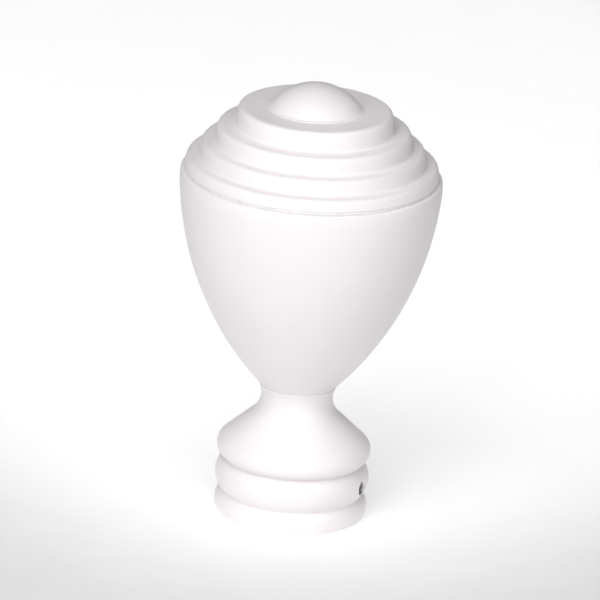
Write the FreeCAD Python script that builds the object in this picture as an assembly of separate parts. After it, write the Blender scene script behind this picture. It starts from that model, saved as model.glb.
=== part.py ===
import FreeCAD, Part
import math
import os

# Urn-shaped cap for a round fence post. Millimetres, +Z up, origin at the centre of the collar's bottom rim.
# Four castings (collar, urn, lid, dome) are clamped together by one tie rod; a set screw grips the post.

# Post and socket
POST_DIAMETER = 48.3
POST_CLEARANCE = 0.25
SOCKET_RADIUS = POST_DIAMETER / 2 + POST_CLEARANCE
SOCKET_DEPTH = 32.0
MOUTH_CHAMFER = 1.0

# Collar: three beads with two grooves between them, then a neck that narrows to a waist
BEAD_RADIUS = 32.0
LOWER_BEAD_RADIUS = 31.7
BOTTOM_EDGE_RADIUS = 31.3
BOTTOM_EDGE_ROUND = 1.5
LOWER_GROOVE = (28.9, 9.0)
UPPER_GROOVE = (27.6, 23.6)
TOP_BEAD_ARC = 4.6
WAIST_RADIUS = 14.9
WAIST_Z = 50.7
WAIST_ARC = 10.9
NECK_TOP_Z = 55.9

# Urn: shoulder arc at the widest place, and one long flank arc down to the foot
URN_FOOT_RADIUS = 15.7
URN_BELLY_RADIUS = 54.1
URN_BELLY_Z = 144.2
URN_SHOULDER_ARC = 21.5
URN_FLANK_ARC = 137.8
URN_RIM_Z = 148.0
URN_WALL = 5.5
URN_MOUTH_RADIUS = 47.7
URN_FLOOR_TOP_Z = 65.0
RIM_ROUND = 0.6

# Lid: (radius, height) of each step, from the top disc down to the widest
STEPS = ((31.7, 176.2), (39.7, 168.0), (45.9, 160.7), (51.7, 154.2))
STEP_NOSE = 2.0
STEP_COVE = 1.2
STEP_DRAFT = 0.6
GASKET_THICKNESS = 0.9
LID_BOTTOM_Z = URN_RIM_Z + GASKET_THICKNESS
LID_HUB_RADIUS = 14.0
LID_HUB_Z = 168.2
LID_CEILING = (22.7, 171.2)
LID_SKIRT_INNER_RADIUS = 43.9
LID_SKIRT_CLEARANCE = 0.3
LID_SKIRT_Z = 142.5

# Dome: a spherical cap with a small flare at its foot
DOME_BASE_RADIUS = 19.4
DOME_TOP_Z = 186.4
DOME_FLARE = 1.6
DOME_LAND = 0.25
DOME_THREAD_TOP_Z = 182.2

# Locating spigots, shared by the neck and the dome
SPIGOT_RADIUS = 9.0
SPIGOT_CLEARANCE = 0.2
NECK_SPIGOT_HEIGHT = 4.0
DOME_SPIGOT_HEIGHT = 6.0
SPIGOT_CHAMFER = 0.5

# Tie rod and its nut and washers, M8
ROD_RADIUS = 4.0
ROD_BOTTOM_Z = 33.4
ROD_TOP_Z = 181.4
ROD_CHAMFER = 1.0
ROD_HOLE_RADIUS = 4.5
THREAD_CLEARANCE = 0.05
NUT_POCKET_RADIUS = 9.2
NUT_POCKET_Z = 45.5
NUT_ACROSS_FLATS = 13.0
NUT_HEIGHT = 6.5
NUT_CHAMFER = (1.2, 0.6)
WASHER_HOLE_RADIUS = 4.2
FLAT_WASHER_RADIUS = 8.0
FLAT_WASHER_THICKNESS = 1.6
SPRING_WASHER_RADIUS = 7.4
SPRING_WASHER_THICKNESS = 2.0
SPRING_WASHER_GAP = 1.5

# Seals
SEAL_RING_RADIUS = 1.0
SEAL_GROOVE_WIDTH = 2.4
NECK_SEAL_MEAN_RADIUS = 12.1
DOME_SEAL_MEAN_RADIUS = 14.0
GASKET_INNER_RADIUS = 47.9
GASKET_OUTER_RADIUS = 51.6

# Set screw, M6 x 5, along +X, with a pad held in its tip
SCREW_Z = 15.5
SCREW_RADIUS = 2.95
SCREW_LENGTH = 5.0
SCREW_HOLE_RADIUS = 3.0
SCREW_MOUTH_RADIUS = 3.6
SCREW_MOUTH_CONE = 2.0
SCREW_CHAMFER = 0.45
HEX_ACROSS_FLATS = 3.0
HEX_DEPTH = 2.2
PAD_RETREAT = 0.35
PAD_FACE_X = SOCKET_RADIUS + PAD_RETREAT
PAD_RADIUS = 2.4
PAD_THICKNESS = 0.8
PAD_STEM_RADIUS = 1.0
PAD_STEM_LENGTH = 1.0
PAD_GAP = 0.05
SCREW_TIP_X = PAD_FACE_X + PAD_THICKNESS + PAD_GAP
TIP_HOLE_RADIUS = 1.05
TIP_HOLE_DEPTH = 1.2

AXIS_X = FreeCAD.Vector(1, 0, 0)
AXIS_Z = FreeCAD.Vector(0, 0, 1)


def point(r, z):
    return FreeCAD.Vector(r, 0, z)


def on_circle(centre, radius, degrees):
    """Point of a circle in the (r, z) plane, the angle counted from +r towards +z."""
    angle = math.radians(degrees)
    return (centre[0] + radius * math.cos(angle), centre[1] + radius * math.sin(angle))


def heading(start, end):
    """Direction from one (r, z) point to another, in degrees."""
    return math.degrees(math.atan2(end[1] - start[1], end[0] - start[0]))


def arc_run(centre, radius, start_degrees, end_degrees):
    """An arc as the pair (point on the way, end point)."""
    middle = (start_degrees + end_degrees) / 2
    return (on_circle(centre, radius, middle), on_circle(centre, radius, end_degrees))


def turned(start, *runs):
    """Solid turned about +Z. A run is an end point, or a pair (point on the way, end point) for an arc."""
    edges = []
    here = start
    for run in runs + (start,):
        if isinstance(run[0], tuple):
            through, end = run
            curve = Part.Arc(point(*here), point(*through), point(*end))
        else:
            end = run
            curve = Part.LineSegment(point(*here), point(*end))
        edges.append(curve.toShape())
        here = end
    return Part.Face(Part.Wire(edges)).revolve(FreeCAD.Vector(), AXIS_Z, 360)


def nose(radius, top, size):
    """Convex quarter round from a flat top down onto a riser."""
    centre = (radius - size, top - size)
    return ((radius - size, top), arc_run(centre, size, 90, 0))


def cove(radius, floor, size):
    """Concave quarter round from a riser out onto the tread below it."""
    centre = (radius + size, floor + size)
    return ((radius, floor + size), arc_run(centre, size, 180, 270))


def seal_groove(mean_radius, z, depth):
    """Square groove for a seal ring, met on the way outwards; a positive depth cuts downwards."""
    inner = mean_radius - SEAL_GROOVE_WIDTH / 2
    outer = mean_radius + SEAL_GROOVE_WIDTH / 2
    return ((inner, z), (inner, z - depth), (outer, z - depth), (outer, z))


def hexagon(across_flats, height, base):
    """Hexagonal prism along +Z whose bottom face is centred on a point."""
    radius = across_flats / math.sqrt(3)
    corners = [
        base + FreeCAD.Vector(*on_circle((0, 0), radius, 60 * i), 0) for i in range(7)
    ]
    return Part.Face(Part.makePolygon(corners)).extrude(AXIS_Z * height)


def crossing_tangent(outer_centre, outer_radius, inner_centre, inner_radius):
    """Angle on the outer circle where a line leaves it to cross over to the far side of the inner one."""
    distance = math.dist(outer_centre, inner_centre)
    opening = math.degrees(math.acos((outer_radius + inner_radius) / distance))
    return heading(outer_centre, inner_centre) - opening


def collar_outline():
    """Outside of the collar, from the neck's top down to the bottom face."""
    waist_centre = (WAIST_RADIUS + WAIST_ARC, WAIST_Z)
    bead_r = BEAD_RADIUS - TOP_BEAD_ARC
    bead_rise = math.sqrt(TOP_BEAD_ARC**2 - (UPPER_GROOVE[0] - bead_r) ** 2)
    bead_centre = (bead_r, UPPER_GROOVE[1] + bead_rise)
    leave = crossing_tangent(bead_centre, TOP_BEAD_ARC, waist_centre, WAIST_ARC)
    neck_start = 180 - math.degrees(math.asin((NECK_TOP_Z - WAIST_Z) / WAIST_ARC))
    middle_bead = (BEAD_RADIUS, (LOWER_GROOVE[1] + UPPER_GROOVE[1]) / 2)
    lower_bead = (LOWER_BEAD_RADIUS, LOWER_GROOVE[1] / 2)
    lower_bead_end = (BOTTOM_EDGE_RADIUS, BOTTOM_EDGE_ROUND)
    edge_centre = (BOTTOM_EDGE_RADIUS - BOTTOM_EDGE_ROUND, BOTTOM_EDGE_ROUND)
    return (
        on_circle(waist_centre, WAIST_ARC, neck_start),
        arc_run(waist_centre, WAIST_ARC, neck_start, leave + 180),
        on_circle(bead_centre, TOP_BEAD_ARC, leave),
        arc_run(bead_centre, TOP_BEAD_ARC, leave, heading(bead_centre, UPPER_GROOVE)),
        (middle_bead, LOWER_GROOVE),
        (lower_bead, lower_bead_end),
        arc_run(edge_centre, BOTTOM_EDGE_ROUND, 0, -90),
        (SOCKET_RADIUS + MOUTH_CHAMFER, 0),
    )


def screw_hole():
    """Hole for the set screw through the middle bead, with a countersunk mouth."""
    start = FreeCAD.Vector(0, 0, SCREW_Z)
    hole = Part.makeCylinder(SCREW_HOLE_RADIUS, BEAD_RADIUS + SCREW_MOUTH_CONE, start, AXIS_X)
    sink = SCREW_MOUTH_RADIUS - SCREW_HOLE_RADIUS
    cone_end = SCREW_HOLE_RADIUS + SCREW_MOUTH_CONE
    cone_start = FreeCAD.Vector(BEAD_RADIUS - sink, 0, SCREW_Z)
    mouth = Part.makeCone(SCREW_HOLE_RADIUS, cone_end, SCREW_MOUTH_CONE, cone_start, AXIS_X)
    return hole.fuse(mouth)


def post_collar():
    """Neck and collar casting. The post slides up to the shoulder at the socket's end."""
    spigot_top = NECK_TOP_Z + NECK_SPIGOT_HEIGHT
    body = turned(
        (SOCKET_RADIUS, MOUTH_CHAMFER),
        (SOCKET_RADIUS, SOCKET_DEPTH),
        (NUT_POCKET_RADIUS, SOCKET_DEPTH),
        (NUT_POCKET_RADIUS, NUT_POCKET_Z),
        (ROD_HOLE_RADIUS, NUT_POCKET_Z),
        (ROD_HOLE_RADIUS, spigot_top),
        (SPIGOT_RADIUS - SPIGOT_CHAMFER, spigot_top),
        (SPIGOT_RADIUS, spigot_top - SPIGOT_CHAMFER),
        (SPIGOT_RADIUS, NECK_TOP_Z),
        *seal_groove(NECK_SEAL_MEAN_RADIUS, NECK_TOP_Z, 2 * SEAL_RING_RADIUS),
        *collar_outline(),
    )
    return body.cut(screw_hole())


def flank_centre():
    """Centre of the flank arc, which is tangent to the shoulder arc and ends at the foot."""
    shoulder = (URN_BELLY_RADIUS - URN_SHOULDER_ARC, URN_BELLY_Z)
    foot = (URN_FOOT_RADIUS, NECK_TOP_Z)
    reach = URN_FLANK_ARC - URN_SHOULDER_ARC
    span = math.dist(shoulder, foot)
    cosine = (reach**2 + span**2 - URN_FLANK_ARC**2) / (2 * reach * span)
    turn = math.degrees(math.acos(cosine))
    return shoulder, on_circle(shoulder, reach, heading(shoulder, foot) - turn)


def urn_body():
    """Hollow bowl: its floor sits on the neck and its rim carries the lid."""
    shoulder, flank = flank_centre()
    inner_arc = URN_FLANK_ARC - URN_WALL
    rim_angle = math.degrees(math.asin((URN_RIM_Z - RIM_ROUND - URN_BELLY_Z) / URN_SHOULDER_ARC))
    rim_point = on_circle(shoulder, URN_SHOULDER_ARC, rim_angle)
    join_angle = heading(flank, shoulder)
    foot_angle = heading(flank, (URN_FOOT_RADIUS, NECK_TOP_Z))
    floor_angle = math.degrees(math.asin((URN_FLOOR_TOP_Z - flank[1]) / inner_arc))
    mouth_angle = -math.degrees(math.acos((URN_MOUTH_RADIUS - flank[0]) / inner_arc))
    bore = SPIGOT_RADIUS + SPIGOT_CLEARANCE
    bore_top = NECK_TOP_Z + NECK_SPIGOT_HEIGHT + SPIGOT_CLEARANCE
    return turned(
        (bore, NECK_TOP_Z),
        (bore, bore_top),
        (ROD_HOLE_RADIUS, bore_top),
        (ROD_HOLE_RADIUS, URN_FLOOR_TOP_Z),
        on_circle(flank, inner_arc, floor_angle),
        arc_run(flank, inner_arc, floor_angle, mouth_angle),
        (URN_MOUTH_RADIUS, URN_RIM_Z),
        (rim_point[0] - RIM_ROUND, URN_RIM_Z),
        rim_point,
        arc_run(shoulder, URN_SHOULDER_ARC, rim_angle, join_angle),
        arc_run(flank, URN_FLANK_ARC, join_angle, foot_angle),
    )


def stepped_lid():
    """Hollow lid with four drafted steps, a centre hole and a skirt that drops into the urn's mouth."""
    stairs = []
    for (radius, top), (_, floor) in zip(STEPS[:-1], STEPS[1:]):
        stairs.extend(nose(radius, top, STEP_NOSE))
        stairs.extend(cove(radius + STEP_DRAFT, floor, STEP_COVE))
    widest, widest_top = STEPS[-1]
    stairs.extend(nose(widest, widest_top, STEP_NOSE))
    rim_radius = widest + STEP_DRAFT
    skirt_radius = URN_MOUTH_RADIUS - LID_SKIRT_CLEARANCE
    hole_radius = SPIGOT_RADIUS + SPIGOT_CLEARANCE
    ceiling_radius, ceiling_z = LID_CEILING
    return turned(
        (hole_radius, STEPS[0][1]),
        *stairs,
        (rim_radius, LID_BOTTOM_Z + RIM_ROUND),
        (rim_radius - RIM_ROUND, LID_BOTTOM_Z),
        (skirt_radius, LID_BOTTOM_Z),
        (skirt_radius, LID_SKIRT_Z),
        (LID_SKIRT_INNER_RADIUS, LID_SKIRT_Z),
        (LID_SKIRT_INNER_RADIUS, LID_BOTTOM_Z + GASKET_THICKNESS),
        (ceiling_radius, ceiling_z),
        (LID_HUB_RADIUS, ceiling_z),
        (LID_HUB_RADIUS, LID_HUB_Z),
        (hole_radius, LID_HUB_Z),
    )


def top_dome():
    """Cap nut: spherical cap outside, spigot and blind M8 hole inside."""
    base = STEPS[0][1]
    height = DOME_TOP_Z - base
    cap_radius = (DOME_BASE_RADIUS**2 + height**2) / (2 * height)
    cap_centre = (0, DOME_TOP_Z - cap_radius)
    flare_z = base + DOME_LAND + DOME_FLARE
    flare_centre = (
        math.sqrt((cap_radius + DOME_FLARE) ** 2 - (flare_z - cap_centre[1]) ** 2),
        flare_z,
    )
    meet = heading(cap_centre, flare_centre)
    thread_radius = ROD_RADIUS + THREAD_CLEARANCE
    spigot_bottom = base - DOME_SPIGOT_HEIGHT
    groove = seal_groove(DOME_SEAL_MEAN_RADIUS, base, -2 * SEAL_RING_RADIUS)
    return turned(
        (0, DOME_TOP_Z),
        arc_run(cap_centre, cap_radius, 90, meet),
        arc_run(flare_centre, DOME_FLARE, meet + 180, 270),
        (flare_centre[0], base),
        *reversed(groove),
        (SPIGOT_RADIUS, base),
        (SPIGOT_RADIUS, spigot_bottom + SPIGOT_CHAMFER),
        (SPIGOT_RADIUS - SPIGOT_CHAMFER, spigot_bottom),
        (thread_radius, spigot_bottom),
        (thread_radius, DOME_THREAD_TOP_Z),
        (0, DOME_THREAD_TOP_Z),
    )


def tie_rod():
    """M8 rod, drawn at its major diameter, chamfered at both ends."""
    end = ROD_RADIUS - ROD_CHAMFER
    return turned(
        (0, ROD_BOTTOM_Z),
        (end, ROD_BOTTOM_Z),
        (ROD_RADIUS, ROD_BOTTOM_Z + ROD_CHAMFER),
        (ROD_RADIUS, ROD_TOP_Z - ROD_CHAMFER),
        (end, ROD_TOP_Z),
        (0, ROD_TOP_Z),
    )


def ring(inner, outer, bottom, thickness):
    """Flat ring about the Z axis."""
    top = bottom + thickness
    return turned((inner, bottom), (outer, bottom), (outer, top), (inner, top))


def seal_ring(mean_radius, z):
    """Round-section ring about the Z axis."""
    centre = FreeCAD.Vector(0, 0, z)
    return Part.makeTorus(mean_radius, SEAL_RING_RADIUS, centre, AXIS_Z)


def flat_washer():
    bottom = NUT_POCKET_Z - FLAT_WASHER_THICKNESS
    return ring(WASHER_HOLE_RADIUS, FLAT_WASHER_RADIUS, bottom, FLAT_WASHER_THICKNESS)


def spring_washer():
    """Split ring, pressed flat."""
    bottom = NUT_POCKET_Z - FLAT_WASHER_THICKNESS - SPRING_WASHER_THICKNESS
    whole = ring(WASHER_HOLE_RADIUS, SPRING_WASHER_RADIUS, bottom, SPRING_WASHER_THICKNESS)
    corner = FreeCAD.Vector(0, -SPRING_WASHER_GAP / 2, bottom)
    gap = Part.makeBox(
        2 * SPRING_WASHER_RADIUS, SPRING_WASHER_GAP, SPRING_WASHER_THICKNESS, corner
    )
    return whole.cut(gap)


def rod_nut():
    """M8 hexagon nut with chamfered corners."""
    top = NUT_POCKET_Z - FLAT_WASHER_THICKNESS - SPRING_WASHER_THICKNESS
    bottom = top - NUT_HEIGHT
    prism = hexagon(NUT_ACROSS_FLATS, NUT_HEIGHT, FreeCAD.Vector(0, 0, bottom))
    face_radius = NUT_ACROSS_FLATS / 2
    reach, rise = NUT_CHAMFER
    envelope = turned(
        (0, bottom),
        (face_radius, bottom),
        (face_radius + reach, bottom + rise),
        (face_radius + reach, top - rise),
        (face_radius, top),
        (0, top),
    )
    hole = Part.makeCylinder(
        ROD_RADIUS + THREAD_CLEARANCE, NUT_HEIGHT, FreeCAD.Vector(0, 0, bottom), AXIS_Z
    )
    return prism.common(envelope).cut(hole)


def lid_gasket():
    return ring(GASKET_INNER_RADIUS, GASKET_OUTER_RADIUS, URN_RIM_Z, GASKET_THICKNESS)


def neck_seal_ring():
    return seal_ring(NECK_SEAL_MEAN_RADIUS, NECK_TOP_Z - SEAL_RING_RADIUS)


def dome_seal_ring():
    return seal_ring(DOME_SEAL_MEAN_RADIUS, STEPS[0][1] + SEAL_RING_RADIUS)


def laid_along_x(solid, x):
    """Turn a solid made along +Z so that it runs along +X from x, at the set screw's height."""
    solid.rotate(FreeCAD.Vector(), FreeCAD.Vector(0, 1, 0), 90)
    solid.translate(FreeCAD.Vector(x, 0, SCREW_Z))
    return solid


def set_screw():
    """M6 set screw, drawn at its major diameter, backed off so that the socket is clear."""
    end = SCREW_RADIUS - SCREW_CHAMFER
    body = turned(
        (TIP_HOLE_RADIUS, 0),
        (end, 0),
        (SCREW_RADIUS, SCREW_CHAMFER),
        (SCREW_RADIUS, SCREW_LENGTH - SCREW_CHAMFER),
        (end, SCREW_LENGTH),
        (0, SCREW_LENGTH),
        (0, TIP_HOLE_DEPTH),
        (TIP_HOLE_RADIUS, TIP_HOLE_DEPTH),
    )
    socket_floor = FreeCAD.Vector(0, 0, SCREW_LENGTH - HEX_DEPTH)
    body = body.cut(hexagon(HEX_ACROSS_FLATS, HEX_DEPTH, socket_floor))
    return laid_along_x(body, SCREW_TIP_X)


def screw_pad():
    """Soft pad that bears on the post; its stem turns in the screw's tip."""
    stem_end = PAD_THICKNESS + PAD_STEM_LENGTH
    body = turned(
        (0, 0),
        (PAD_RADIUS, 0),
        (PAD_RADIUS, PAD_THICKNESS),
        (PAD_STEM_RADIUS, PAD_THICKNESS),
        (PAD_STEM_RADIUS, stem_end),
        (0, stem_end),
    )
    return laid_along_x(body, PAD_FACE_X)


PIECES = (
    post_collar,
    urn_body,
    stepped_lid,
    top_dome,
    tie_rod,
    rod_nut,
    spring_washer,
    flat_washer,
    lid_gasket,
    neck_seal_ring,
    dome_seal_ring,
    set_screw,
    screw_pad,
)

os.makedirs("parts", exist_ok=True)
for piece in PIECES:
    shape = piece()
    shape.exportStep(f"parts/{piece.__name__}.step")
    box = shape.BoundBox
    print(
        f"{piece.__name__}: valid {shape.isValid()}, solids {len(shape.Solids)}, "
        f"{shape.Volume:.0f} mm3, z {box.ZMin:.2f} to {box.ZMax:.2f}, x to {box.XMax:.2f}"
    )
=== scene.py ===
import math

import bmesh
import bpy
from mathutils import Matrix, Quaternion, Vector, noise


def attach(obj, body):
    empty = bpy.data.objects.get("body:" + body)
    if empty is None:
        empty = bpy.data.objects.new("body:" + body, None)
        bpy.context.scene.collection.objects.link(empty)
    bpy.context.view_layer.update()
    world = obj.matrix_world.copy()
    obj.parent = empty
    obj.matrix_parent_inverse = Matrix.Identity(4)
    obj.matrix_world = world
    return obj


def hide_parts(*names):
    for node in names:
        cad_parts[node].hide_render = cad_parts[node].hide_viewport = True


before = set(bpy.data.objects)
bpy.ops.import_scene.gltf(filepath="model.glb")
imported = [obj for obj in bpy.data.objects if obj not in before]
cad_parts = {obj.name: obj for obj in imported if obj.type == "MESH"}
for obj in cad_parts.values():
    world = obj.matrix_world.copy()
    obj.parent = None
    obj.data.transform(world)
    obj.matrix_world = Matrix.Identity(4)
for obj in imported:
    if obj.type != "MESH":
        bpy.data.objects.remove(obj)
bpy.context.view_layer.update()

# ---------------------------------------------------------------------------
# Sizes. Outlines are (radius, height) about the post's axis, in millimetres;
# meshes are scaled to metres when they are made.
# ---------------------------------------------------------------------------
MM = 0.001
SEGMENTS = 264
RING_SEGMENTS = 144
ARC_STEP = 0.5

SOCKET_RADIUS = 24.4
SOCKET_DEPTH = 32.0
NUT_POCKET_RADIUS = 9.2
NUT_POCKET_Z = 45.5
BEAD_RADIUS = 32.0
LOWER_BEAD_RADIUS = 31.7
BOTTOM_EDGE_RADIUS = 31.3
BOTTOM_EDGE_ROUND = 1.5
LOWER_GROOVE = (28.9, 9.0)
UPPER_GROOVE = (27.6, 23.6)
GROOVE_PAINT = 0.7
TOP_BEAD_ARC = 4.6
WAIST_RADIUS = 14.9
WAIST_Z = 50.7
WAIST_ARC = 10.9
NECK_TOP_Z = 55.9
NECK_EDGE = 0.3

URN_FOOT_RADIUS = 15.7
BELLY_RADIUS = 54.1
BELLY_Z = 144.2
SHOULDER_ARC = 21.5
FLANK_ARC = 137.8
RIM_Z = 148.0
RIM_ROUND = 0.7
URN_WALL = 5.5
MOUTH_RADIUS = 47.7
FLOOR_TOP_Z = 65.0

STEPS = ((31.7, 176.2), (39.7, 168.0), (45.9, 160.7), (51.7, 154.2))
STEP_NOSE = 2.0
STEP_COVE = 1.2
STEP_DRAFT = 0.6
GASKET = (47.9, 51.6, 0.9)
LID_BOTTOM_Z = RIM_Z + GASKET[2]
LID_SKIRT_Z = 142.5
LID_SKIRT_INNER_RADIUS = 43.9
LID_CEILING = (22.7, 171.2)
LID_HUB = (14.0, 168.2)

DOME_BASE_RADIUS = 19.4
DOME_TOP_Z = 186.4
DOME_FLARE = 1.6
DOME_LAND = 0.25
DOME_THREAD_TOP_Z = 182.2
DOME_THREAD_ENTRY = 0.4

SPIGOT_RADIUS = 9.0
SPIGOT_CLEARANCE = 0.2
NECK_SPIGOT_HEIGHT = 4.0
DOME_SPIGOT_HEIGHT = 6.0
SEAL_RADIUS = 1.0
SEAL_GROOVE_HALF_WIDTH = 1.2
NECK_SEAL_RADIUS = 12.1
DOME_SEAL_RADIUS = 14.0

ROD_RADIUS = 4.0
ROD_BOTTOM_Z = 33.4
ROD_TOP_Z = 181.4
ROD_HOLE_RADIUS = 4.5
ROD_PITCH = 1.25
ROD_THREAD_DEPTH = 0.68
ROD_SHANK_RADIUS = 3.64
ROD_LOWER_THREAD = 24.0
ROD_UPPER_THREAD = 18.0
ROD_CHAMFER = 1.0
ROD_RUNOUT = 1.2
THREAD_CLEARANCE = 0.05
NUT_ACROSS_FLATS = 13.0
NUT_HEIGHT = 6.5
NUT_THREAD_DEPTH = 0.6
NUT_ENTRY = 0.6
FLAT_WASHER = (4.2, 8.0, 1.6)
SPRING_WASHER = (4.2, 7.4, 2.0)
SPRING_WASHER_GAP = 1.5

SCREW_Z = 15.5
SCREW_TIP_X = 25.6
SCREW_LENGTH = 5.0
SCREW_PITCH = 1.0
SCREW_RADIUS = 2.94
SCREW_ROOT = 2.42
SCREW_HOLE_RADIUS = 3.0
SCREW_HOLE_CREST = 2.5
SCREW_MOUTH_RADIUS = 3.6
COATED_DEPTH = 0.15
HOLE_SIDES = 70  # not a multiple of 4, so that no corner falls on the collar's seam
HEX_ACROSS_FLATS = 3.0
HEX_DEPTH = 2.2
SCREW_CHAMFER = 0.5
STEM_HOLE = (1.05, 1.2)
PAD_FACE_X = 24.75
PAD_RADIUS = 2.4
PAD_THICKNESS = 0.8
PAD_STEM_RADIUS = 1.0
PAD_END = 1.8
PAD_CENTRE_RADIUS = 0.3


# ---------------------------------------------------------------------------
# Outlines
# ---------------------------------------------------------------------------
def on_circle(centre, radius, degrees):
    angle = math.radians(degrees)
    return (centre[0] + radius * math.cos(angle), centre[1] + radius * math.sin(angle))


def heading(start, end):
    return math.degrees(math.atan2(end[1] - start[1], end[0] - start[0]))


def arc(centre, radius, start_degrees, end_degrees, step=ARC_STEP):
    """Points of an arc, both ends included, about one step apart."""
    length = radius * math.radians(abs(end_degrees - start_degrees))
    count = max(4, math.ceil(length / step))
    turn = (end_degrees - start_degrees) / count
    return [on_circle(centre, radius, start_degrees + turn * i) for i in range(count + 1)]


def straight(start, end, step=ARC_STEP):
    """Points of a straight run, without its start."""
    count = max(1, math.ceil(math.dist(start, end) / step))
    return [
        tuple(a + (b - a) * i / count for a, b in zip(start, end)) for i in range(1, count + 1)
    ]


def three_point_arc(start, middle, end):
    (x1, y1), (x2, y2), (x3, y3) = start, middle, end
    d = 2 * (x1 * (y2 - y3) + x2 * (y3 - y1) + x3 * (y1 - y2))
    s1, s2, s3 = x1**2 + y1**2, x2**2 + y2**2, x3**2 + y3**2
    centre = (
        (s1 * (y2 - y3) + s2 * (y3 - y1) + s3 * (y1 - y2)) / d,
        (s1 * (x3 - x2) + s2 * (x1 - x3) + s3 * (x2 - x1)) / d,
    )
    first, way, last = (heading(centre, p) for p in (start, middle, end))
    way = first + (way - first + 180) % 360 - 180
    last = way + (last - way + 180) % 360 - 180
    return arc(centre, math.dist(centre, start), first, last)


def rounded(corners):
    """Open outline with its corners rounded. A corner is (radius, height, rounding)."""
    points = [corners[0][:2]]
    for before, corner, after in zip(corners, corners[1:], corners[2:]):
        here = Vector(corner[:2])
        size = corner[2]
        if size <= 0:
            points.append(tuple(here))
            continue
        back = (Vector(before[:2]) - here).normalized()
        ahead = (Vector(after[:2]) - here).normalized()
        half = back.angle(ahead) / 2
        reach = size / math.tan(half)
        centre = here + (back + ahead).normalized() * (size / math.sin(half))
        first = heading(centre, here + back * reach)
        last = heading(centre, here + ahead * reach)
        last = first + (last - first + 180) % 360 - 180
        points.extend(arc(centre, size, first, last, size * 0.25))
    points.append(corners[-1][:2])
    return points


def eased_join(first, second, size):
    """Two runs that meet in a crease, joined with paint build-up in the crease."""
    crease = first[-1]
    before = [p for p in first if math.dist(p, crease) > 1.5 * size]
    after = [p for p in second if math.dist(p, crease) > 1.5 * size]
    return before + rounded([before[-1], (*crease, size), after[0]])[1:-1] + after


def spread(points, longest):
    """The outline with long runs divided, so that shading and small waves have points to act on."""
    dense = [points[0]]
    for start, end in zip(points, points[1:]):
        dense.extend(straight(start, end, longest))
    return dense


# ---------------------------------------------------------------------------
# Meshes
# ---------------------------------------------------------------------------
def circle_row(radius, height, count):
    turn = 2 * math.pi / count
    return [
        Vector((radius * math.cos(turn * i), radius * math.sin(turn * i), height))
        for i in range(count)
    ]


def shaped_row(radius_at, height_at, count):
    """Closed row whose radius and height both depend on the angle."""
    row = []
    for i in range(count):
        angle = 2 * math.pi * i / count
        radius = radius_at(angle)
        row.append(Vector((radius * math.cos(angle), radius * math.sin(angle), height_at(angle))))
    return row


def skin(name, rows, closed=False, first_cap=False, last_cap=False, zones=None):
    """Mesh through rows of points with the same count, in millimetres.

    zones gives each row's material number; a row's faces are those up to the next row.
    """
    bm = bmesh.new()
    loops = [[bm.verts.new(p * MM) for p in row] for row in rows]
    count = len(rows[0])
    pairs = list(zip(loops, loops[1:]))
    if closed:
        pairs.append((loops[-1], loops[0]))
    for n, (lower, upper) in enumerate(pairs):
        for i in range(count):
            k = (i + 1) % count
            face = bm.faces.new((lower[i], lower[k], upper[k], upper[i]))
            face.material_index = zones[n] if zones else 0
    for wanted, loop in ((first_cap, loops[0]), (last_cap, loops[-1])):
        if wanted:
            middle = bm.verts.new(sum((v.co for v in loop), Vector()) / count)
            for i in range(count):
                bm.faces.new((loop[i], loop[(i + 1) % count], middle))
    bmesh.ops.recalc_face_normals(bm, faces=bm.faces)
    mesh = bpy.data.meshes.new(name)
    bm.to_mesh(mesh)
    bm.free()
    piece = bpy.data.objects.new(name, mesh)
    bpy.context.scene.collection.objects.link(piece)
    return piece


def lathe(name, parts, closed=True, first_cap=False, last_cap=False, segments=SEGMENTS):
    """Turned mesh. Each part of the outline has its own material number, in order from 0."""
    points = []
    zones = []
    for number, part in enumerate(parts):
        for point in part:
            if not points or math.dist(point, points[-1]) > 1e-4:
                points.append(point)
                zones.append(number)
    rows = [circle_row(r, z, segments) for r, z in points]
    return skin(name, rows, closed, first_cap, last_cap, zones)


def sand_waves(piece, inside_radius, height=0.05, size=28.0):
    """Slow unevenness of a sand casting: outside points move along their radius only."""
    for vertex in piece.data.vertices:
        radius = math.hypot(vertex.co.x, vertex.co.y)
        if radius > inside_radius * MM:
            wave = noise.noise(vertex.co * (1000 / size)) * height * MM
            vertex.co.x *= 1 + wave / radius
            vertex.co.y *= 1 + wave / radius


def smooth(piece, degrees=38):
    piece.data.shade_smooth()
    piece.data.set_sharp_from_angle(angle=math.radians(degrees))


def cut(piece, cutter):
    """Boolean difference, applied to the mesh; its many-sided faces become triangles."""
    step = piece.modifiers.new("cut", "BOOLEAN")
    step.operation = "DIFFERENCE"
    step.solver = "EXACT"
    step.object = cutter
    view = bpy.context.evaluated_depsgraph_get()
    mesh = bpy.data.meshes.new_from_object(piece.evaluated_get(view))
    piece.modifiers.clear()
    bm = bmesh.new()
    bm.from_mesh(mesh)
    bmesh.ops.triangulate(bm, faces=[face for face in bm.faces if len(face.verts) > 4])
    bm.to_mesh(mesh)
    bm.free()
    mesh.name = piece.name
    piece.data = mesh
    bpy.data.objects.remove(cutter)


def along_x(piece, height):
    """Turn a mesh made along +Z so that it runs along +X, at the given height."""
    for vertex in piece.data.vertices:
        x, y, z = vertex.co
        vertex.co = (z, x, y + height * MM)


def thread_radius(height, angle, pitch, root, crest):
    """Radius of a right-hand 60-degree thread with small flats at root and crest."""
    turns = height / pitch - angle / (2 * math.pi)
    ramp = 1 - abs(2 * (turns % 1.0) - 1)
    share = min(max((ramp - 0.12) / 0.76, 0), 1)
    return root + (crest - root) * share


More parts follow.
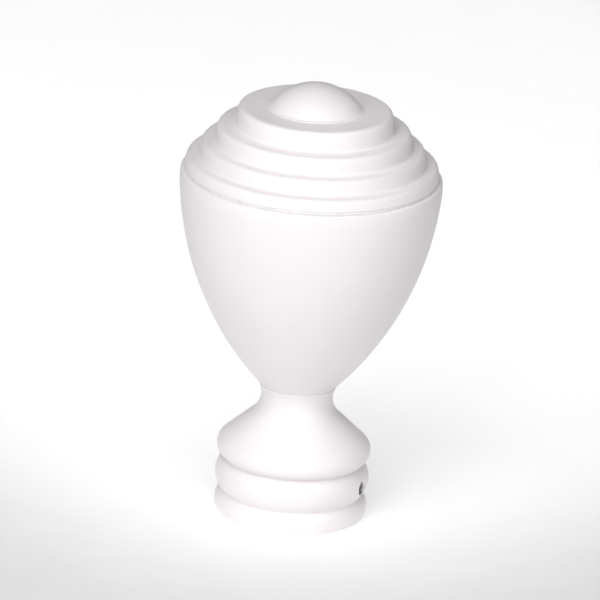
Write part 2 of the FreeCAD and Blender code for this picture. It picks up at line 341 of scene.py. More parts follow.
def thread_rows(bottom, top, pitch, root, crest, limit, count):
    """Rows of a thread; limit(height) caps its radius, which makes the end chamfers."""
    steps = math.ceil((top - bottom) / pitch * 10)
    rows = []
    for i in range(steps + 1):
        height = bottom + (top - bottom) * i / steps
        rows.append(
            shaped_row(
                lambda a: min(thread_radius(height, a, pitch, root, crest), limit(height)),
                lambda a: height,
                count,
            )
        )
    return rows


def hex_radius(angle, across_flats):
    return across_flats / 2 / math.cos(angle % (math.pi / 3) - math.pi / 6)


# ---------------------------------------------------------------------------
# Materials
# ---------------------------------------------------------------------------
def new_material(name, roughness, metallic=0.0):
    material = bpy.data.materials.new(name)
    material.use_nodes = True
    tree = material.node_tree
    shader = tree.nodes["Principled BSDF"]
    shader.inputs["Roughness"].default_value = roughness
    shader.inputs["Metallic"].default_value = metallic
    return material, tree, shader


def place(tree):
    return tree.nodes.new("ShaderNodeTexCoord").outputs["Object"]


def add_noise(tree, scale, detail=2.0, vector=None):
    made = tree.nodes.new("ShaderNodeTexNoise")
    made.inputs["Scale"].default_value = scale
    made.inputs["Detail"].default_value = detail
    tree.links.new(vector or place(tree), made.inputs["Vector"])
    return made.outputs["Fac"]


def ranged(tree, value, low, high, to_low=0.0, to_high=1.0):
    """Map a value's range to another, clamped and eased."""
    made = tree.nodes.new("ShaderNodeMapRange")
    made.interpolation_type = "SMOOTHSTEP"
    for name, number in (
        ("From Min", low), ("From Max", high), ("To Min", to_low), ("To Max", to_high)
    ):
        made.inputs[name].default_value = number
    tree.links.new(value, made.inputs["Value"])
    return made.outputs["Result"]


def drift(tree, scale, detail=2.0, to_low=0.0, to_high=1.0):
    """Slow change from place to place: the middle of a noise's range, spread over two values."""
    return ranged(tree, add_noise(tree, scale, detail), 0.3, 0.7, to_low, to_high)


def math_node(tree, operation, first, second=0.0):
    made = tree.nodes.new("ShaderNodeMath")
    made.operation = operation
    for socket, value in zip(made.inputs, (first, second)):
        if isinstance(value, float):
            socket.default_value = value
        else:
            tree.links.new(value, socket)
    return made.outputs["Value"]


def mix_colours(tree, factor, first, second):
    """Colour between two; each is an RGB triple or another node's output."""
    made = tree.nodes.new("ShaderNodeMix")
    made.data_type = "RGBA"
    tree.links.new(factor, made.inputs[0])
    for socket, value in ((made.inputs[6], first), (made.inputs[7], second)):
        if isinstance(value, tuple):
            socket.default_value = (*value, 1)
        else:
            tree.links.new(value, socket)
    return made.outputs[2]


def add_bump(tree, height, strength, distance, under=None):
    made = tree.nodes.new("ShaderNodeBump")
    made.inputs["Strength"].default_value = strength
    made.inputs["Distance"].default_value = distance
    tree.links.new(height, made.inputs["Height"])
    if under:
        tree.links.new(under, made.inputs["Normal"])
    return made.outputs["Normal"]


def coordinates(tree):
    """Radius from the post's axis and height above the collar's rim, in metres."""
    parts = tree.nodes.new("ShaderNodeSeparateXYZ")
    tree.links.new(place(tree), parts.inputs[0])
    x, y, z = parts.outputs
    squares = math_node(
        tree, "ADD", math_node(tree, "MULTIPLY", x, x), math_node(tree, "MULTIPLY", y, y)
    )
    return math_node(tree, "SQRT", squares), z


def rare_specks(tree, scale, size, share):
    """Mask of small round specks in a few of the cells."""
    cells = tree.nodes.new("ShaderNodeTexVoronoi")
    cells.inputs["Scale"].default_value = scale
    tree.links.new(place(tree), cells.inputs["Vector"])
    near = ranged(tree, cells.outputs["Distance"], size * 0.6, size, 1.0, 0.0)
    pick = tree.nodes.new("ShaderNodeSeparateColor")
    tree.links.new(cells.outputs["Color"], pick.inputs["Color"])
    chosen = math_node(tree, "LESS_THAN", pick.outputs["Red"], share)
    return math_node(tree, "MULTIPLY", near, chosen)


COAT_LIGHT = (0.875, 0.838, 0.846)
COAT_DARK = (0.850, 0.812, 0.822)
COAT_SPECK = (0.66, 0.62, 0.62)
SPECK_SCALE = 110.0
SPECK_SIZE = 0.045
SPECK_SHARE = 0.05
MACHINED_LIGHT = (0.60, 0.60, 0.61)
MACHINED_DARK = (0.47, 0.47, 0.48)
CAST_LIGHT = (0.52, 0.52, 0.53)
CAST_DARK = (0.36, 0.36, 0.37)
TURNING_PITCH = 0.0006


def coat_colour(tree):
    base = mix_colours(tree, drift(tree, 24.0, 3.0), COAT_LIGHT, COAT_DARK)
    specks = rare_specks(tree, SPECK_SCALE, SPECK_SIZE, SPECK_SHARE)
    return mix_colours(tree, specks, base, COAT_SPECK), specks


def coat_bump(tree, specks):
    peel = add_bump(tree, add_noise(tree, 620.0, 2.0), 0.35, 0.00003)
    grain = add_bump(tree, add_noise(tree, 2600.0, 1.0), 0.25, 0.000012, peel)
    pit_height = math_node(tree, "SUBTRACT", 1.0, specks)
    return add_bump(tree, pit_height, 0.6, 0.00008, grain)


def powder_coat():
    """White powder coat: faint orange peel, slow drift of tone, a few pinholes."""
    material, tree, shader = new_material("white_powder_coat", 0.42)
    colour, specks = coat_colour(tree)
    tree.links.new(colour, shader.inputs["Base Color"])
    gloss = drift(tree, 70.0, to_low=0.36, to_high=0.50)
    tree.links.new(gloss, shader.inputs["Roughness"])
    tree.links.new(coat_bump(tree, specks), shader.inputs["Normal"])
    return material


def bare_socket():
    """Machined aluminium inside the collar, with overspray that fades up from the mouth."""
    material, tree, shader = new_material("machined_socket", 0.4, 1.0)
    radius, height = coordinates(tree)
    cloud = math_node(tree, "MULTIPLY", add_noise(tree, 120.0, 3.0), 0.012)
    reach = math_node(tree, "SUBTRACT", height, cloud)
    sprayed = ranged(tree, reach, -0.004, 0.002, 1.0, 0.0)
    stain = ranged(tree, add_noise(tree, 90.0, 4.0), 0.35, 0.7)
    bare = mix_colours(tree, stain, MACHINED_LIGHT, MACHINED_DARK)
    coat, _ = coat_colour(tree)
    tree.links.new(mix_colours(tree, sprayed, bare, coat), shader.inputs["Base Color"])
    tree.links.new(ranged(tree, sprayed, 0.0, 1.0, 1.0, 0.0), shader.inputs["Metallic"])
    gloss = drift(tree, 200.0, to_low=0.32, to_high=0.52)
    tree.links.new(gloss, shader.inputs["Roughness"])
    along = math_node(tree, "ADD", height, radius)
    waves = math_node(tree, "MULTIPLY", along, 2 * math.pi / TURNING_PITCH)
    turning = math_node(tree, "SINE", waves)
    tree.links.new(add_bump(tree, turning, 0.5, 0.00002), shader.inputs["Normal"])
    return material


def cast_inside():
    """Rough, uncoated casting skin inside the bowl, the lid and the joints."""
    material, tree, shader = new_material("cast_inside", 0.6, 1.0)
    colour = mix_colours(tree, drift(tree, 60.0, 5.0), CAST_LIGHT, CAST_DARK)
    tree.links.new(colour, shader.inputs["Base Color"])
    gloss = drift(tree, 300.0, to_low=0.5, to_high=0.72)
    tree.links.new(gloss, shader.inputs["Roughness"])
    grain = add_bump(tree, add_noise(tree, 900.0, 4.0), 0.8, 0.00012)
    tree.links.new(grain, shader.inputs["Normal"])
    return material


def metal(name, light, dark, rough, smudge_scale, scratch=None):
    """Metal whose colour and gloss drift with position, and fine scratches along one stretch."""
    material, tree, shader = new_material(name, rough[0], 1.0)
    colour = mix_colours(tree, drift(tree, smudge_scale, 4.0), light, dark)
    tree.links.new(colour, shader.inputs["Base Color"])
    gloss = drift(tree, smudge_scale * 3, 2.0, *rough)
    tree.links.new(gloss, shader.inputs["Roughness"])
    stretch = tree.nodes.new("ShaderNodeMapping")
    stretch.inputs["Scale"].default_value = scratch or (1, 1, 1)
    tree.links.new(place(tree), stretch.inputs["Vector"])
    lines = add_noise(tree, 900.0, 2.0, stretch.outputs["Vector"])
    tree.links.new(add_bump(tree, lines, 0.3, 0.00001), shader.inputs["Normal"])
    return material


def rubber(name, light, dark):
    """Moulded rubber: matt, with a fine grain and a little dust."""
    material, tree, shader = new_material(name, 0.7)
    dust = ranged(tree, add_noise(tree, 400.0, 4.0), 0.4, 0.75)
    tree.links.new(mix_colours(tree, dust, light, dark), shader.inputs["Base Color"])
    gloss = drift(tree, 150.0, to_low=0.6, to_high=0.8)
    tree.links.new(gloss, shader.inputs["Roughness"])
    grain = add_bump(tree, add_noise(tree, 1500.0, 2.0), 0.3, 0.00002)
    tree.links.new(grain, shader.inputs["Normal"])
    return material


COAT = powder_coat()
SOCKET = bare_socket()
CAST = cast_inside()
TAPPED = metal("tapped_hole", (0.8, 0.79, 0.79), (0.6, 0.59, 0.59), (0.35, 0.5), 260.0)
ZINC = metal("zinc_plate", (0.74, 0.75, 0.76), (0.60, 0.61, 0.60), (0.24, 0.38), 90.0, (1, 1, 8))
STAINLESS = metal("stainless", (0.40, 0.395, 0.39), (0.27, 0.27, 0.27), (0.28, 0.42), 300.0)
BRASS = metal("brass", (0.80, 0.60, 0.29), (0.62, 0.44, 0.20), (0.25, 0.42), 300.0)
PALE_RUBBER = rubber("pale_rubber", (0.84, 0.83, 0.83), (0.76, 0.75, 0.75))
DARK_RUBBER = rubber("dark_rubber", (0.10, 0.10, 0.105), (0.16, 0.16, 0.16))


def finish_piece(piece, node, materials, body="cap", degrees=38):
    """Smooth the mesh, give it its materials, tie it to its body and hide the CAD node it stands
    for.
    """
    for material in materials:
        piece.data.materials.append(material)
    smooth(piece, degrees)
    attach(piece, body)
    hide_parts(node)


# ---------------------------------------------------------------------------
# Collar
# ---------------------------------------------------------------------------
def crossing_tangent(outer_centre, outer_radius, inner_centre, inner_radius):
    """Angle on the outer circle where a line leaves it for the far side of the inner one."""
    distance = math.dist(outer_centre, inner_centre)
    opening = math.degrees(math.acos((outer_radius + inner_radius) / distance))
    return heading(outer_centre, inner_centre) - opening


def collar_outside():
    """From the neck's top down to the bottom rim."""
    waist_centre = (WAIST_RADIUS + WAIST_ARC, WAIST_Z)
    bead_r = BEAD_RADIUS - TOP_BEAD_ARC
    bead_rise = math.sqrt(TOP_BEAD_ARC**2 - (UPPER_GROOVE[0] - bead_r) ** 2)
    bead_centre = (bead_r, UPPER_GROOVE[1] + bead_rise)
    leave = crossing_tangent(bead_centre, TOP_BEAD_ARC, waist_centre, WAIST_ARC)
    neck_start = 180 - math.degrees(math.asin((NECK_TOP_Z - NECK_EDGE - WAIST_Z) / WAIST_ARC))
    middle_bead = (BEAD_RADIUS, (LOWER_GROOVE[1] + UPPER_GROOVE[1]) / 2)
    lower_bead = (LOWER_BEAD_RADIUS, LOWER_GROOVE[1] / 2)
    lower_end = (BOTTOM_EDGE_RADIUS, BOTTOM_EDGE_ROUND)
    edge_centre = (BOTTOM_EDGE_RADIUS - BOTTOM_EDGE_ROUND, BOTTOM_EDGE_ROUND)
    neck = arc(waist_centre, WAIST_ARC, neck_start, leave + 180)
    lip = arc((neck[0][0] - NECK_EDGE, neck[0][1]), NECK_EDGE, 90, 0, 0.1)
    bead = arc(bead_centre, TOP_BEAD_ARC, leave, heading(bead_centre, UPPER_GROOVE))
    middle = three_point_arc(UPPER_GROOVE, middle_bead, LOWER_GROOVE)
    lower = three_point_arc(LOWER_GROOVE, lower_bead, lower_end)
    return (
        [(URN_FOOT_RADIUS - 0.3, NECK_TOP_Z)]
        + lip
        + neck
        + straight(neck[-1], bead[0])
        + eased_join(eased_join(bead, middle, GROOVE_PAINT), lower, GROOVE_PAINT)
        + arc(edge_centre, BOTTOM_EDGE_ROUND, 0, -90, 0.25)
    )


def collar_inside():
    """From the bottom rim up through socket, nut pocket and rod hole to the neck's top."""
    mouth_chamfer = 1.0
    spigot_top = NECK_TOP_Z + NECK_SPIGOT_HEIGHT
    groove_in = NECK_SEAL_RADIUS - SEAL_GROOVE_HALF_WIDTH
    groove_out = NECK_SEAL_RADIUS + SEAL_GROOVE_HALF_WIDTH
    groove_floor = NECK_TOP_Z - 2 * SEAL_RADIUS
    corners = rounded(
        [
            (SOCKET_RADIUS + mouth_chamfer, 0, 0),
            (SOCKET_RADIUS, mouth_chamfer, 0.3),
            (SOCKET_RADIUS, SOCKET_DEPTH, 0.8),
            (NUT_POCKET_RADIUS, SOCKET_DEPTH, 0.5),
            (NUT_POCKET_RADIUS, NUT_POCKET_Z, 0.6),
            (ROD_HOLE_RADIUS, NUT_POCKET_Z, 0.3),
            (ROD_HOLE_RADIUS, spigot_top, 0.3),
            (SPIGOT_RADIUS, spigot_top, 0.4),
            (SPIGOT_RADIUS, NECK_TOP_Z, 0),
            (groove_in, NECK_TOP_Z, 0.15),
            (groove_in, groove_floor, 0.2),
            (groove_out, groove_floor, 0.2),
            (groove_out, NECK_TOP_Z, 0.15),
            (groove_out + 0.5, NECK_TOP_Z, 0),
        ]
    )
    return spread(corners, 1.5)


def screw_hole_cutter():
    """Threaded hole with a countersunk mouth, from inside the socket to past the bead."""
    inner_end = SOCKET_RADIUS - 2.0
    outer_end = BEAD_RADIUS + 2.0
    sink = SCREW_MOUTH_RADIUS - SCREW_HOLE_RADIUS
    steps = math.ceil((outer_end - inner_end) / SCREW_PITCH * 12)
    rows = []
    zones = []
    for i in range(steps + 1):
        x = inner_end + (outer_end - inner_end) * i / steps
        cone = SCREW_HOLE_RADIUS + x - (BEAD_RADIUS - sink)
        zones.append(2 if x < BEAD_RADIUS - COATED_DEPTH else 0)
        rows.append(
            shaped_row(
                lambda a: max(
                    thread_radius(x, a, SCREW_PITCH, SCREW_HOLE_CREST, SCREW_HOLE_RADIUS), cone
                ),
                lambda a: x,
                HOLE_SIDES,
            )
        )
    cutter = skin("hole_cutter", rows, first_cap=True, last_cap=True, zones=zones)
    along_x(cutter, SCREW_Z)
    return cutter


def make_collar():
    """White outside, machined inside; the boolean keeps the cutter's material numbers."""
    collar = lathe("collar_casting", (collar_outside(), collar_inside()))
    sand_waves(collar, SOCKET_RADIUS + 1.5)
    for material in (COAT, SOCKET, TAPPED):
        collar.data.materials.append(material)
    cut(collar, screw_hole_cutter())
    finish_piece(collar, "post_collar", ())


# ---------------------------------------------------------------------------
# Urn, lid and dome
# ---------------------------------------------------------------------------
def flank_centre():
    """Centres of the shoulder arc and of the flank arc that is tangent to it."""
    shoulder = (BELLY_RADIUS - SHOULDER_ARC, BELLY_Z)
    foot = (URN_FOOT_RADIUS, NECK_TOP_Z)
    reach = FLANK_ARC - SHOULDER_ARC
    span = math.dist(shoulder, foot)
    cosine = (reach**2 + span**2 - FLANK_ARC**2) / (2 * reach * span)
    turn = math.degrees(math.acos(cosine))
    return shoulder, on_circle(shoulder, reach, heading(shoulder, foot) - turn)


def make_urn():
    shoulder, flank = flank_centre()
    rim_angle = math.degrees(math.asin((RIM_Z - RIM_ROUND - BELLY_Z) / SHOULDER_ARC))
    rim_r = on_circle(shoulder, SHOULDER_ARC, rim_angle)[0] - RIM_ROUND
    join = heading(flank, shoulder)
    foot_angle = heading(flank, (URN_FOOT_RADIUS, NECK_TOP_Z))
    inner_arc = FLANK_ARC - URN_WALL
    floor_angle = math.degrees(math.asin((FLOOR_TOP_Z - flank[1]) / inner_arc))
    mouth_angle = -math.degrees(math.acos((MOUTH_RADIUS - flank[0]) / inner_arc))
    bore = SPIGOT_RADIUS + SPIGOT_CLEARANCE
    bore_top = NECK_TOP_Z + NECK_SPIGOT_HEIGHT + SPIGOT_CLEARANCE
    inside = arc(flank, inner_arc, floor_angle, mouth_angle, 3 * ARC_STEP)
    outside = (
        [(GASKET[1], RIM_Z)]
        + arc((rim_r, RIM_Z - RIM_ROUND), RIM_ROUND, 90, rim_angle, 0.15)
        + arc(shoulder, SHOULDER_ARC, rim_angle, join)
        + arc(flank, FLANK_ARC, join, foot_angle, 2 * ARC_STEP)
    )
    foot = [(URN_FOOT_RADIUS, NECK_TOP_Z), (bore, NECK_TOP_Z), (bore, bore_top)]
    floor = [(ROD_HOLE_RADIUS, bore_top), (ROD_HOLE_RADIUS, FLOOR_TOP_Z)]
    urn = lathe("urn_casting", (outside, foot + floor + inside + [(MOUTH_RADIUS, RIM_Z)]))
    sand_waves(urn, URN_FOOT_RADIUS - 0.5)
    finish_piece(urn, "urn_body", (COAT, CAST))


def make_lid():
    hole = SPIGOT_RADIUS + SPIGOT_CLEARANCE
    corners = [(hole, STEPS[0][1], 0)]
    for (radius, top), (_, floor) in zip(STEPS[:-1], STEPS[1:]):
        corners.append((radius, top, STEP_NOSE))
        corners.append((radius + STEP_DRAFT, floor, STEP_COVE))
    widest, widest_top = STEPS[-1]
    skirt = MOUTH_RADIUS - 0.3
    corners += [
        (widest, widest_top, STEP_NOSE),
        (widest + STEP_DRAFT, LID_BOTTOM_Z, 0.6),
        (GASKET[1], LID_BOTTOM_Z, 0),
    ]
    under = [
        (GASKET[1], LID_BOTTOM_Z, 0),
        (skirt, LID_BOTTOM_Z, 0),
        (skirt, LID_SKIRT_Z, 0.5),
        (LID_SKIRT_INNER_RADIUS, LID_SKIRT_Z, 0.5),
        (LID_SKIRT_INNER_RADIUS, LID_BOTTOM_Z + GASKET[2], 2.0),
        (*LID_CEILING, 3.0),
        (LID_HUB[0], LID_CEILING[1], 1.0),
        (*LID_HUB, 0.5),
        (hole, LID_HUB[1], 0),
    ]
    lid = lathe("lid_casting", (spread(rounded(corners), 1.6), spread(rounded(under), 1.6)))
    sand_waves(lid, LID_HUB[0])
    finish_piece(lid, "stepped_lid", (COAT, CAST))


def make_dome():
    base = STEPS[0][1]
    height = DOME_TOP_Z - base
    cap_radius = (DOME_BASE_RADIUS**2 + height**2) / (2 * height)
    cap_centre = (0, DOME_TOP_Z - cap_radius)
    flare_z = base + DOME_LAND + DOME_FLARE
    reach = math.sqrt((cap_radius + DOME_FLARE) ** 2 - (flare_z - cap_centre[1]) ** 2)
    flare_centre = (reach, flare_z)
    meet = heading(cap_centre, flare_centre)
    thread = ROD_RADIUS + THREAD_CLEARANCE
    groove_in = DOME_SEAL_RADIUS - SEAL_GROOVE_HALF_WIDTH
    groove_out = DOME_SEAL_RADIUS + SEAL_GROOVE_HALF_WIDTH
    groove_top = base + 2 * SEAL_RADIUS
    spigot_bottom = base - DOME_SPIGOT_HEIGHT
    under = rounded(
        [
            (reach, base, 0),
            (groove_out, base, 0.1),
            (groove_out, groove_top, 0.2),
            (groove_in, groove_top, 0.2),
            (groove_in, base, 0.1),
            (SPIGOT_RADIUS, base, 0),
            (SPIGOT_RADIUS, spigot_bottom, 0.5),
            (thread + DOME_THREAD_ENTRY, spigot_bottom, 0.1),
            (thread, spigot_bottom + DOME_THREAD_ENTRY, 0),
            (thread, DOME_THREAD_TOP_Z, 0),
            (0.5, DOME_THREAD_TOP_Z + 0.6, 0),
        ]
    )
    cap = arc(cap_centre, cap_radius, 89, meet)
    flare = arc(flare_centre, DOME_FLARE, meet + 180, 270, 0.2)
    dome = lathe("dome_nut", (cap + flare, spread(under, 1.2)), False, True, True)
    sand_waves(dome, SPIGOT_RADIUS + 0.5)
    finish_piece(dome, "top_dome", (COAT, CAST))


# ---------------------------------------------------------------------------
# Tie rod, nut, washers and seals
# ---------------------------------------------------------------------------
def make_tie_rod():
    """Stud with a rolled thread at each end and a plain shank between."""
    root = ROD_RADIUS - ROD_THREAD_DEPTH
    shank = ROD_SHANK_RADIUS
    count = 48
    lower_end = ROD_BOTTOM_Z + ROD_LOWER_THREAD
    upper_start = ROD_TOP_Z - ROD_UPPER_THREAD

    def limit(to_end, to_shank):
        fade = shank + to_shank * (ROD_RADIUS - shank) / ROD_RUNOUT
        return min(ROD_RADIUS - ROD_CHAMFER + to_end, ROD_RADIUS, fade)

    def lower_limit(z):
        return limit(z - ROD_BOTTOM_Z, lower_end - z)

    def upper_limit(z):
        return limit(ROD_TOP_Z - z, z - upper_start)

    lower = thread_rows(ROD_BOTTOM_Z, lower_end, ROD_PITCH, root, ROD_RADIUS, lower_limit, count)
    upper = thread_rows(upper_start, ROD_TOP_Z, ROD_PITCH, root, ROD_RADIUS, upper_limit, count)
    shank_start = (shank, lower_end + ROD_RUNOUT / 2)
    shank_end = (shank, upper_start - ROD_RUNOUT / 2)
    plain = [
        circle_row(shank, z, count) for _, z in [shank_start] + straight(shank_start, shank_end, 8.0)
    ]
    rod = skin("threaded_stud", lower + plain + upper, first_cap=True, last_cap=True)
    finish_piece(rod, "tie_rod", (ZINC,), degrees=50)


def make_nut():
    """Hexagon nut with 30-degree chamfers and a threaded bore."""
    top = NUT_POCKET_Z - FLAT_WASHER[2] - SPRING_WASHER[2]
    bottom = top - NUT_HEIGHT
    count = 96
    face = NUT_ACROSS_FLATS / 2 - 0.1
    root = ROD_RADIUS + THREAD_CLEARANCE
    crest = root - NUT_THREAD_DEPTH

    def corner_drop(angle):
        return (hex_radius(angle, NUT_ACROSS_FLATS) - face) * math.tan(math.radians(30))

    def wall(height_at):
        return shaped_row(lambda a: hex_radius(a, NUT_ACROSS_FLATS), height_at, count)

    bore = []
    steps = 52
    for i in range(steps + 1):
        z = bottom + NUT_HEIGHT * i / steps
        flare = root + NUT_ENTRY - min(z - bottom, top - z)
        bore.append(
            shaped_row(
                lambda a: max(thread_radius(z, a, ROD_PITCH, crest, root), flare),
                lambda a: z,
                count,
            )
        )
    outside = [
        circle_row(face, top, count),
        wall(lambda a: top - corner_drop(a)),
        wall(lambda a: bottom + corner_drop(a)),
        circle_row(face, bottom, count),
    ]
    nut = skin("hex_nut", bore + outside, closed=True)
    finish_piece(nut, "rod_nut", (ZINC,), degrees=28)


def ring_section(inner, outer, bottom, thickness, edge):
    """Closed section of a flat ring with small rounded edges."""
    top = bottom + thickness
    middle = bottom + thickness / 2
    corners = [(inner, bottom), (outer, bottom), (outer, top), (inner, top)]
    return rounded([(inner, middle, 0)] + [(*p, edge) for p in corners] + [(inner, middle, 0)])[:-1]


def make_flat_washer():
    inner, outer, thickness = FLAT_WASHER
    section = ring_section(inner, outer, NUT_POCKET_Z - thickness, thickness, 0.3)
    washer = lathe("plain_washer", (section,), segments=RING_SEGMENTS)
    finish_piece(washer, "flat_washer", (ZINC,))


def make_spring_washer():
    """Split ring of rectangular wire, pressed flat, with the cut at its ends leaning."""
    inner, outer, thickness = SPRING_WASHER
    bottom = NUT_POCKET_Z - FLAT_WASHER[2] - thickness
    section = ring_section(inner, outer, bottom, thickness, 0.2)
    lean = 0.25
    half_gap = SPRING_WASHER_GAP / 2
    count = 130
    rows = []
    for i in range(count + 1):
        share = i / count
        row = []
        for r, z in section:
            slant = lean * (z - bottom - thickness / 2)
            start = math.asin((half_gap + slant) / r)
            end = 2 * math.pi - math.asin((half_gap - slant) / r)
            angle = start + (end - start) * share
            row.append(Vector((r * math.cos(angle), r * math.sin(angle), z)))
        rows.append(row)
    washer = skin("split_washer", rows, first_cap=True, last_cap=True)
    finish_piece(washer, "spring_washer", (ZINC,))


def make_gasket():
    inner, outer, thickness = GASKET
    outline = (
        [(inner, RIM_Z), (outer, RIM_Z)]
        + arc((outer, RIM_Z + thickness / 2), thickness / 2, -90, 90, 0.1)
        + [(inner, RIM_Z + thickness)]
    )
    gasket = lathe("rim_gasket", (outline,))
    finish_piece(gasket, "lid_gasket", (PALE_RUBBER,))


def make_seal_ring(name, node, mean_radius, height):
    outline = arc((mean_radius, height), SEAL_RADIUS, 0, 360, 0.3)[:-1]
    ring = lathe(name, (outline,), segments=RING_SEGMENTS)
    finish_piece(ring, node, (DARK_RUBBER,))


# ---------------------------------------------------------------------------
# Set screw and its pad
# ---------------------------------------------------------------------------
def make_set_screw():
    """M6 set screw: hexagon socket outwards, a small hole in the tip for the pad's stem."""
    count = 72
    start = SCREW_TIP_X
    end = SCREW_TIP_X + SCREW_LENGTH
    hole_radius, hole_depth = STEM_HOLE

    def limit(x):
        return SCREW_RADIUS - SCREW_CHAMFER + min(x - start, end - x)

    tip = [circle_row(hole_radius, x, count) for x in (start + hole_depth, start)]
    body = thread_rows(start, end, SCREW_PITCH, SCREW_ROOT, SCREW_RADIUS, limit, count)
    hex_corner = HEX_ACROSS_FLATS / math.sqrt(3)
    lip = [circle_row(hex_corner + 0.1, end, count)]
    key = [
        shaped_row(lambda a: hex_radius(a, HEX_ACROSS_FLATS), lambda a: x, count)
        for x in (end - 0.15, end - HEX_DEPTH)
    ]
    drill = [circle_row(0.9, end - HEX_DEPTH - 0.2, count)]
    rows = tip + body + lip + key + drill
    screw = skin("grub_screw", rows, first_cap=True, last_cap=True)
    along_x(screw, SCREW_Z)
    finish_piece(screw, "set_screw", (STAINLESS,), body="screw", degrees=32)


def make_pad():
    """Brass button with a stem, turned smooth."""
    outline = rounded(
        [
            (PAD_CENTRE_RADIUS, 0, 0),
            (PAD_RADIUS, 0, 0.15),
            (PAD_RADIUS, PAD_THICKNESS, 0.15),
            (PAD_STEM_RADIUS, PAD_THICKNESS, 0.1),
            (PAD_STEM_RADIUS, PAD_END, 0.2),
            (PAD_CENTRE_RADIUS, PAD_END, 0),
        ]
    )
    pad = lathe("pad_button", (outline,), False, True, True, segments=96)
    along_x(pad, SCREW_Z)
    for vertex in pad.data.vertices:
        vertex.co.x += PAD_FACE_X * MM
    finish_piece(pad, "screw_pad", (BRASS,), body="pad")


# ---------------------------------------------------------------------------
# Floor, lights and camera
# ---------------------------------------------------------------------------
CAMERA_AZIMUTH = 22.0
CAMERA_ELEVATION = 19.96
CAMERA_DISTANCE = 3.2
CAMERA_ROLL = 3.78
LENS = 465.4
MIDDLE = Vector((0, 0, 0.096))
AIM_BELOW_MIDDLE = 0.0037
AIM_LEFT_OF_MIDDLE = 0.00138
PAPER_SIZE = 6
PAPER_LIGHT = (0.86, 0.86, 0.86)
PAPER_DARK = (0.84, 0.84, 0.84)
# Painted light: centre, size and strength of the floor's glowing patch behind the object.
PAINTED_GLOW_CENTRE = 0.44
PAINTED_GLOW_SIZE = (0.34, 0.59, 1)
PAINTED_GLOW_STRENGTH = 0.54
PAPER_GLOW = 0.03
SKY_STRENGTH = 0.14
LAMP_SIZE = 1.4
LAMP_DISTANCE = 2.2


def direction(azimuth, elevation):
    """From the object towards a place in the studio; azimuth 0 is -Y, and +X is at 90."""
    a, e = math.radians(azimuth), math.radians(elevation)
    return Vector((math.sin(a) * math.cos(e), -math.cos(a) * math.cos(e), math.sin(e)))


def make_floor():
    """Pale paper with a painted pool of light: a soft-edged patch behind the object glows by its own
    emission, with no lamp under it.
    """
    material, tree, shader = new_material("floor_paper", 0.9)
    colour = mix_colours(tree, drift(tree, 40.0, 3.0), PAPER_LIGHT, PAPER_DARK)
    tree.links.new(colour, shader.inputs["Base Color"])
    painted_glow_patch = tree.nodes.new("ShaderNodeMapping")
    painted_glow_patch.vector_type = "TEXTURE"
    painted_glow_patch.inputs["Location"].default_value = direction(CAMERA_AZIMUTH, 0) * -PAINTED_GLOW_CENTRE
    painted_glow_patch.inputs["Rotation"].default_value = (0, 0, math.radians(CAMERA_AZIMUTH))
    painted_glow_patch.inputs["Scale"].default_value = PAINTED_GLOW_SIZE
    tree.links.new(place(tree), painted_glow_patch.inputs["Vector"])
    reach = tree.nodes.new("ShaderNodeVectorMath")
    reach.operation = "LENGTH"
    tree.links.new(painted_glow_patch.outputs["Vector"], reach.inputs[0])
    # Painted light: strong emission in the oval behind the object, fading to the paper's faint even
    # glow elsewhere.
    painted_glow = ranged(tree, reach.outputs["Value"], 0.55, 1.0, PAINTED_GLOW_STRENGTH, PAPER_GLOW)
    tree.links.new(painted_glow, shader.inputs["Emission Strength"])
    shader.inputs["Emission Color"].default_value = (1, 1, 1, 1)
    bm = bmesh.new()
    bmesh.ops.create_grid(bm, x_segments=4, y_segments=4, size=PAPER_SIZE)
    mesh = bpy.data.meshes.new("floor")
    bm.to_mesh(mesh)
    bm.free()
    floor = bpy.data.objects.new("floor", mesh)
    bpy.context.scene.collection.objects.link(floor)
    mesh.materials.append(material)


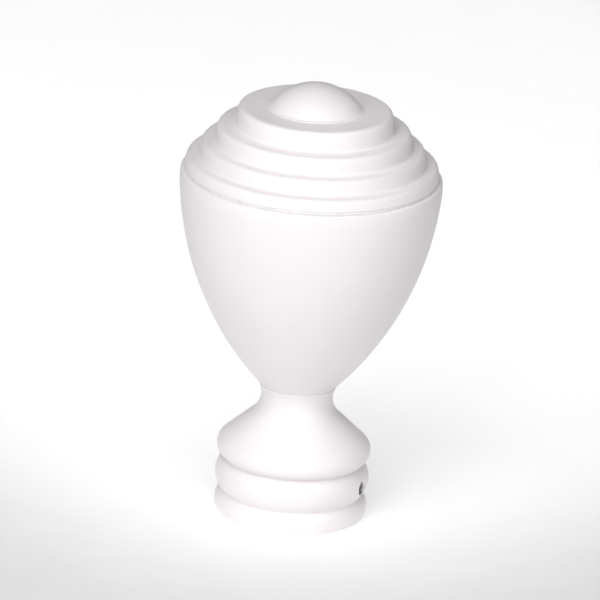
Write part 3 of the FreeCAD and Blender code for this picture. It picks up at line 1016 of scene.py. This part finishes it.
def area_light(name, power, azimuth, elevation):
    """Square lamp that faces the object; its azimuth is counted from the camera's."""
    data = bpy.data.lights.new(name, "AREA")
    data.size = LAMP_SIZE
    data.energy = power
    lamp = bpy.data.objects.new(name, data)
    bpy.context.scene.collection.objects.link(lamp)
    back = direction(CAMERA_AZIMUTH + azimuth, elevation)
    lamp.location = MIDDLE + back * LAMP_DISTANCE
    lamp.rotation_mode = "QUATERNION"
    lamp.rotation_quaternion = (-back).to_track_quat("-Z", "Y")


def make_camera():
    data = bpy.data.cameras.new("camera")
    data.lens = LENS
    data.sensor_width = 36
    data.clip_start = 0.1
    data.clip_end = 50
    camera = bpy.data.objects.new("camera", data)
    bpy.context.scene.collection.objects.link(camera)
    right = direction(CAMERA_AZIMUTH + 90, 0)
    camera.location = MIDDLE + direction(CAMERA_AZIMUTH, CAMERA_ELEVATION) * CAMERA_DISTANCE
    aim = MIDDLE - Vector((0, 0, AIM_BELOW_MIDDLE)) - right * AIM_LEFT_OF_MIDDLE
    look = (aim - camera.location).to_track_quat("-Z", "Y")
    camera.rotation_mode = "QUATERNION"
    camera.rotation_quaternion = look @ Quaternion((0, 0, 1), math.radians(CAMERA_ROLL))
    bpy.context.scene.camera = camera


def make_world():
    world = bpy.data.worlds.new("studio")
    world.use_nodes = True
    background = world.node_tree.nodes["Background"]
    background.inputs["Color"].default_value = (1, 1, 1, 1)
    background.inputs["Strength"].default_value = SKY_STRENGTH
    bpy.context.scene.world = world


make_camera()
make_world()
make_floor()
area_light("key_left", 19.8, -33, 28)
area_light("key_right", 12.3, 38, 28)
area_light("front_top", 24.3, -10, 50)
bpy.context.scene.view_settings.view_transform = "Standard"

make_collar()
make_urn()
make_lid()
make_dome()
make_tie_rod()
make_nut()
make_flat_washer()
make_spring_washer()
make_gasket()
make_seal_ring("neck_o_ring", "neck_seal_ring", NECK_SEAL_RADIUS, NECK_TOP_Z - SEAL_RADIUS)
make_seal_ring("dome_o_ring", "dome_seal_ring", DOME_SEAL_RADIUS, STEPS[0][1] + SEAL_RADIUS)
make_set_screw()
make_pad()
